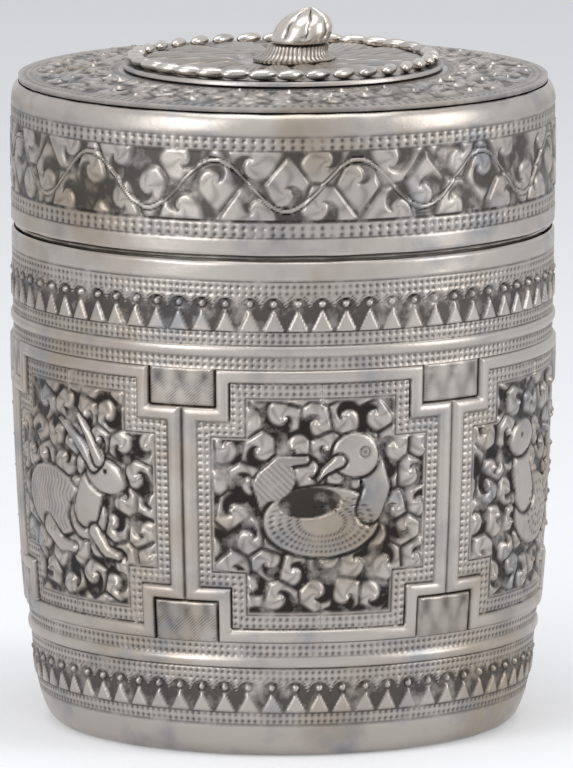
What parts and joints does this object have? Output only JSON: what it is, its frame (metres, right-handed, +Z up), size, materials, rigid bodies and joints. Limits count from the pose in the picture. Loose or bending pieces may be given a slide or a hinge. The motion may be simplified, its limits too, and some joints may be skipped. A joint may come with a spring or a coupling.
{
  "type": "betel box",
  "caption": "Round footed sheet-silver box with framed chased panels, a lift-out tray on its neck and a slip-over lid with a bud finial.",
  "frame": {"origin": "centre of the base, on the surface that the box stands on", "axes": "+Z up along the axis of the drum, -Y towards the middle of one panel, which is the front"},
  "size_m": [0.1002, 0.1002, 0.1314],
  "materials": {
    "chased_silver": "chased, oxidised in the recesses",
    "plain_silver": "hammered and worn smooth",
    "bright_silver": "rubbed bright on the high points"
  },
  "bodies": {
    "box": {"case_sleeve": "chased_silver", "base_plate": "plain_silver", "liner_cup": "plain_silver", "seat_ring": "bright_silver", "mouth_wire": "bright_silver"},
    "tray": {"tray_pan": "plain_silver", "tray_rim_wire": "bright_silver"},
    "lid": {"lid_sleeve": "chased_silver", "lid_lining": "plain_silver", "lid_top": "chased_silver", "medallion": "chased_silver", "bead_ring": "bright_silver", "finial_skirt": "chased_silver", "finial_bud": "bright_silver", "finial_pin": "plain_silver", "finial_washer": "plain_silver"}
  },
  "joints": [
    {"name": "tray_lift", "type": "slide", "parent": "box", "child": "tray", "axis": [0, 0, 1], "range_m": [0, 0.045]},
    {"name": "lid_lift", "type": "slide", "parent": "tray", "child": "lid", "axis": [0, 0, 1], "range_m": [0, 0.06]}
  ]
}
